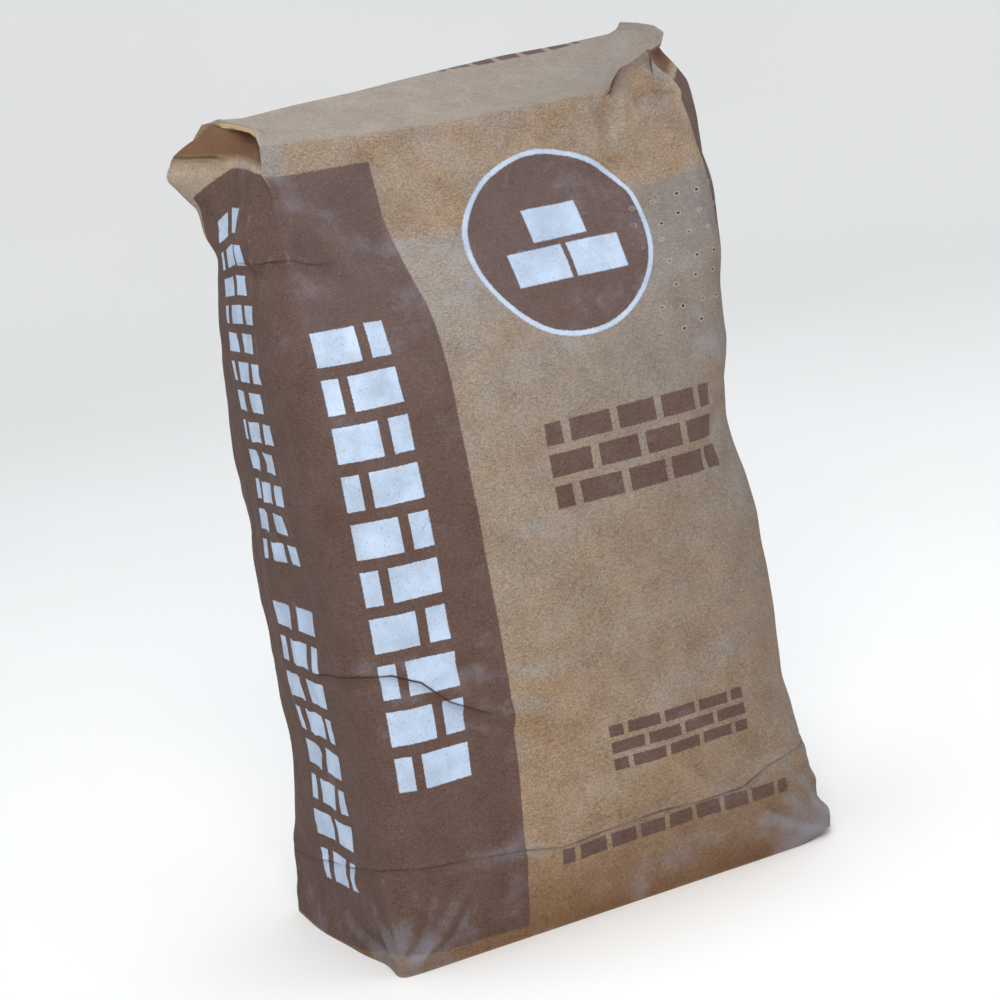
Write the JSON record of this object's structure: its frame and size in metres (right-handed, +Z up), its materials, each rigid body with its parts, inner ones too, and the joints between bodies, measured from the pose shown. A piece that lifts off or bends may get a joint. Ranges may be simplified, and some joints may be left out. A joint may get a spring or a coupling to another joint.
{
  "type": "cement bag",
  "caption": "Filled paper valve sack of cement standing on its pasted bottom, wide and flat in front, narrowing to a sloping closure panel with folded corner ears.",
  "frame": {"origin": "middle of the sack's flat bottom, on the floor", "axes": "+Z up along the sack's height, the wide printed front faces -Y, +X to the right seen from the front"},
  "size_m": [0.3228, 0.1685, 0.4853],
  "materials": {
    "kraft_paper": "matt multi-ply kraft paper, dusty, printed in brown and pale silver",
    "valve_paper": "matt kraft paper, clean",
    "cement_powder": "fine grey powder, settled"
  },
  "bodies": {
    "root": {"paper_sack": "kraft_paper", "valve_sleeve": "valve_paper", "cement_fill": "cement_powder"}
  },
  "joints": []
}
